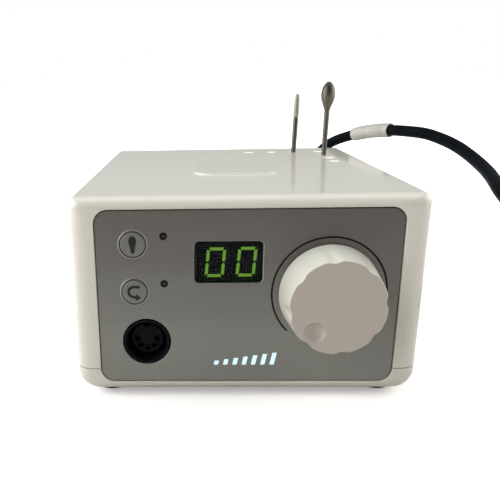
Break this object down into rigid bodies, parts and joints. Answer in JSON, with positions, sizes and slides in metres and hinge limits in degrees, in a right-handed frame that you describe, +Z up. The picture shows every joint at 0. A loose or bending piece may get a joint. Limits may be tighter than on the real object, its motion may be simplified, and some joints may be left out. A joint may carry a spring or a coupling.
{
  "type": "electric nail drill control box",
  "caption": "Box-shaped control unit of an electric nail drill: speed knob, digit display, two push buttons, round handpiece socket, drill bits standing in the top, and a mains cord.",
  "frame": {"origin": "centre of the low pad on the base tray's underside, 2.1 mm above the table that the feet stand on", "axes": "+X to the right seen from the front, +Y from the front to the rear, +Z up"},
  "size_m": [0.21, 0.2033, 0.1043],
  "materials": {
    "housing": "glossy warm off-white moulded plastic, very light orange peel",
    "front_plate": "satin warm grey metallic front plate",
    "display_window": "glossy smoked filter",
    "display_module": "black face with green segments",
    "light_guide": "translucent, lit from behind",
    "lamp": "dark unlit lens",
    "button": "satin warm grey",
    "knob": "semi-gloss warm off-white",
    "black_plastic": "satin black",
    "steel": "plated steel",
    "bit_steel": "polished tool steel",
    "brass": "nickel-flashed brass",
    "board": "green solder mask",
    "ribbon": "grey flat cable",
    "lamination": "varnished steel laminations",
    "winding": "taped enamelled copper winding",
    "relay": "blue relay case",
    "aluminium": "extruded heat sink",
    "fuse_glass": "clear glass fuse",
    "cord": "black flexible cord jacket",
    "sleeve": "off-white plain sleeve",
    "rubber": "matt black rubber"
  },
  "bodies": {
    "housing": {"base_tray": "housing", "bridge_rectifier": "black_plastic", "case_screw_1": "steel", "case_screw_2": "steel", "case_screw_3": "steel", "case_screw_4": "steel", "control_board": "board", "cord_sleeve": "sleeve", "direction_relay": "relay", "display_module": "display_module", "display_window": "display_window", "foot_status_lamp": "lamp", "foot_switch_body": "black_plastic", "front_panel": "front_plate", "fuse_holder": "black_plastic", "handpiece_socket_insert": "black_plastic", "handpiece_socket_shell": "black_plastic", "heat_sink": "aluminium", "main_board": "board", "mains_cord": "cord", "mark_light_guide": "light_guide", "motor_driver": "black_plastic", "output_capacitor": "black_plastic", "pedal_jack_body": "black_plastic", "pedal_jack_nut": "steel", "plug_body": "cord", "plug_pin_left": "brass", "plug_pin_right": "brass", "potentiometer_body": "steel", "potentiometer_nut": "steel", "power_switch_body": "black_plastic", "rear_panel": "housing", "reverse_status_lamp": "lamp", "reverse_switch_body": "black_plastic", "ribbon_cable": "ribbon", "rubber_foot_1": "rubber", "rubber_foot_2": "rubber", "rubber_foot_3": "rubber", "rubber_foot_4": "rubber", "smoothing_capacitor": "black_plastic", "socket_contact_1": "brass", "socket_contact_2": "brass", "socket_contact_3": "brass", "socket_contact_4": "brass", "socket_contact_5": "brass", "strain_relief": "black_plastic", "transformer_core": "lamination", "transformer_winding": "winding", "upper_cover": "housing"},
    "speed_knob_set": {"speed_knob": "knob", "knob_shaft": "steel"},
    "foot_button_set": {"foot_button": "button", "foot_switch_plunger": "black_plastic"},
    "reverse_button_set": {"reverse_button": "button", "reverse_switch_plunger": "black_plastic"},
    "power_rocker_set": {"power_rocker": "black_plastic"},
    "fuse_carrier_set": {"fuse_carrier": "black_plastic", "fuse_link": "fuse_glass"},
    "needle_bit": {"bit_needle": "bit_steel"},
    "olive_bit": {"bit_olive": "bit_steel"}
  },
  "joints": [
    {"name": "speed_knob_turn", "type": "hinge", "parent": "housing", "child": "speed_knob_set", "pos_m": [0.02725, -0.07625, 0.0363], "axis": [0, 1, 0], "range_deg": [0, 270]},
    {"name": "foot_button_press", "type": "slide", "parent": "housing", "child": "foot_button_set", "axis": [0, 1, 0], "range_m": [0, 0.0005], "stiffness_N_per_m": 600, "springref_m": -0.0005},
    {"name": "reverse_button_press", "type": "slide", "parent": "housing", "child": "reverse_button_set", "axis": [0, 1, 0], "range_m": [0, 0.0005], "stiffness_N_per_m": 600, "springref_m": -0.0005},
    {"name": "power_rocker_tilt", "type": "hinge", "parent": "housing", "child": "power_rocker_set", "pos_m": [-0.032, 0.07405, 0.0359], "axis": [-1, 0, 0], "range_deg": [0, 24]},
    {"name": "fuse_carrier_pull", "type": "slide", "parent": "housing", "child": "fuse_carrier_set", "axis": [0, 1, 0], "range_m": [0, 0.04]},
    {"name": "needle_bit_lift", "type": "slide", "parent": "housing", "child": "needle_bit", "axis": [0.0314, 0, 0.9995], "range_m": [0, 0.045]},
    {"name": "olive_bit_lift", "type": "slide", "parent": "housing", "child": "olive_bit", "axis": [0.0175, 0, 0.9998], "range_m": [0, 0.045]}
  ]
}
